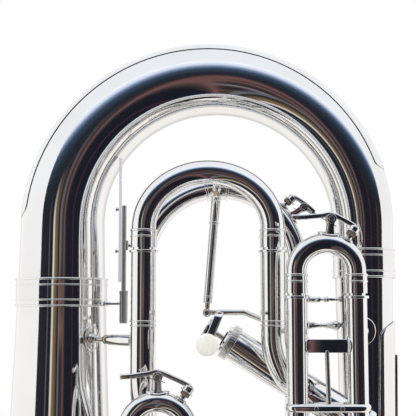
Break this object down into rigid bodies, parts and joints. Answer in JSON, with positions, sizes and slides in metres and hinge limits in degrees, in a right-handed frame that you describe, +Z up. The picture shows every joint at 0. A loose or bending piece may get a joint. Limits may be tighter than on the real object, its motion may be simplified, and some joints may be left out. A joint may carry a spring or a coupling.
{
  "type": "tuba",
  "caption": "Silver-plated compensating tuba standing on its bell, with piston valves, pull slides, water keys and a slide trigger.",
  "frame": {"origin": "on the floor, under the middle of the outer box", "axes": "+Z up the bell's axis from its rim to the bottom bow, +X from the bell towards the second branch, -Y towards the valves"},
  "size_m": [0.5761, 0.4854, 0.9063],
  "materials": {
    "silver_plate": "polished silver plate",
    "nickel_silver": "lapped nickel silver",
    "spring_steel": "drawn wire",
    "pearl": "polished imitation pearl"
  },
  "bodies": {
    "tuba_body": {"bell_flare": "silver_plate", "bell_stem": "silver_plate", "bell_ferrule": "silver_plate", "bottom_bow": "silver_plate", "bow_guard": "silver_plate", "branch_ferrule": "silver_plate", "second_branch": "silver_plate", "branch_guard": "silver_plate", "top_bow": "silver_plate", "third_branch": "silver_plate", "main_tube": "silver_plate", "fourth_tube_left": "silver_plate", "fourth_tube_right": "silver_plate", "third_tubes": "silver_plate", "first_tubes": "silver_plate", "second_tubes": "silver_plate", "knuckle_first_second": "silver_plate", "knuckle_second_third": "silver_plate", "fourth_valve_feed": "silver_plate", "mouthpipe": "silver_plate", "bell_brace": "silver_plate", "branch_brace": "silver_plate", "guide_barrel": "spring_steel", "trigger_post": "silver_plate", "first_casing": "silver_plate", "first_top_cap": "silver_plate", "first_bottom_cap": "silver_plate", "first_spring": "spring_steel", "second_casing": "silver_plate", "second_top_cap": "silver_plate", "second_bottom_cap": "silver_plate", "second_spring": "spring_steel", "third_casing": "silver_plate", "third_top_cap": "silver_plate", "third_bottom_cap": "silver_plate", "third_spring": "spring_steel", "fourth_casing": "silver_plate", "fourth_top_cap": "silver_plate", "fourth_bottom_cap": "silver_plate", "fourth_spring": "spring_steel"},
    "main_slide": {"main_slide": "silver_plate"},
    "main_water_key": {"main_water_key": "silver_plate"},
    "connecting_rod": {"connecting_rod": "silver_plate"},
    "trigger": {"trigger_lever": "silver_plate", "touchpiece": "pearl"},
    "first_slide": {"first_slide": "silver_plate"},
    "first_water_key": {"first_water_key": "silver_plate"},
    "second_slide": {"second_slide": "silver_plate"},
    "third_slide": {"third_slide": "silver_plate"},
    "third_water_key": {"third_water_key": "silver_plate"},
    "fourth_slide": {"fourth_slide": "silver_plate"},
    "mouthpiece": {"mouthpiece": "silver_plate"},
    "first_valve": {"first_piston": "nickel_silver", "first_button": "pearl"},
    "second_valve": {"second_piston": "nickel_silver", "second_button": "pearl"},
    "third_valve": {"third_piston": "nickel_silver", "third_button": "pearl"},
    "fourth_valve": {"fourth_piston": "nickel_silver", "fourth_button": "pearl"}
  },
  "joints": [
    {"name": "trigger_turn", "type": "hinge", "parent": "tuba_body", "child": "trigger", "pos_m": [0.163, -0.017, 0.626], "axis": [0, 1, 0], "range_deg": [0, 21.6], "stiffness_Nm_per_rad": 0.9, "springref_deg": -20.05},
    {"name": "main_slide_pull", "type": "slide", "parent": "tuba_body", "child": "main_slide", "axis": [0, 0, 1], "range_m": [0, 0.0229]},
    {"name": "rod_swing", "type": "hinge", "parent": "main_slide", "child": "connecting_rod", "pos_m": [0.1088, -0.0175, 0.7573], "axis": [0, 1, 0], "range_deg": [-3.8, 0]},
    {"name": "main_key_turn", "type": "hinge", "parent": "main_slide", "child": "main_water_key", "pos_m": [0.19573, 0, 0.73878], "axis": [0, 1, 0], "range_deg": [0, 10], "stiffness_Nm_per_rad": 0.4, "springref_deg": -17.19},
    {"name": "first_slide_pull", "type": "slide", "parent": "tuba_body", "child": "first_slide", "axis": [0, 0, 1], "range_m": [0, 0.03]},
    {"name": "first_key_turn", "type": "hinge", "parent": "first_slide", "child": "first_water_key", "pos_m": [0.0566, -0.11, 0.5803], "axis": [0, -1, 0], "range_deg": [0, 10], "stiffness_Nm_per_rad": 0.4, "springref_deg": -17.19},
    {"name": "second_slide_pull", "type": "slide", "parent": "tuba_body", "child": "second_slide", "axis": [0, 1, 0], "range_m": [0, 0.018]},
    {"name": "third_slide_pull", "type": "slide", "parent": "tuba_body", "child": "third_slide", "axis": [0, 0, 1], "range_m": [0, 0.075]},
    {"name": "third_key_turn", "type": "hinge", "parent": "third_slide", "child": "third_water_key", "pos_m": [0.20753, -0.115, 0.71666], "axis": [0, -1, 0], "range_deg": [0, 10], "stiffness_Nm_per_rad": 0.4, "springref_deg": -17.19},
    {"name": "fourth_slide_pull", "type": "slide", "parent": "tuba_body", "child": "fourth_slide", "axis": [0, 0, 1], "range_m": [0, 0.055]},
    {"name": "mouthpiece_pull", "type": "slide", "parent": "tuba_body", "child": "mouthpiece", "axis": [0.3502, 0.8604, -0.3702], "range_m": [0, 0.03]},
    {"name": "first_valve_press", "type": "slide", "parent": "tuba_body", "child": "first_valve", "axis": [0, 0, 1], "range_m": [0, 0.015], "stiffness_N_per_m": 150, "springref_m": -0.015, "deforming": ["first_spring"]},
    {"name": "second_valve_press", "type": "slide", "parent": "tuba_body", "child": "second_valve", "axis": [0, 0, 1], "range_m": [0, 0.015], "stiffness_N_per_m": 150, "springref_m": -0.015, "deforming": ["second_spring"]},
    {"name": "third_valve_press", "type": "slide", "parent": "tuba_body", "child": "third_valve", "axis": [0, 0, 1], "range_m": [0, 0.015], "stiffness_N_per_m": 150, "springref_m": -0.015, "deforming": ["third_spring"]},
    {"name": "fourth_valve_press", "type": "slide", "parent": "tuba_body", "child": "fourth_valve", "axis": [0.848, 0, -0.5299], "range_m": [0, 0.015], "stiffness_N_per_m": 150, "springref_m": -0.015, "deforming": ["fourth_spring"]}
  ],
  "couplings": [
    {"joint": "trigger_turn", "follows": "main_slide_pull", "rad_per_m": 16.386},
    {"joint": "rod_swing", "follows": "main_slide_pull", "rad_per_m": -2.7437}
  ]
}
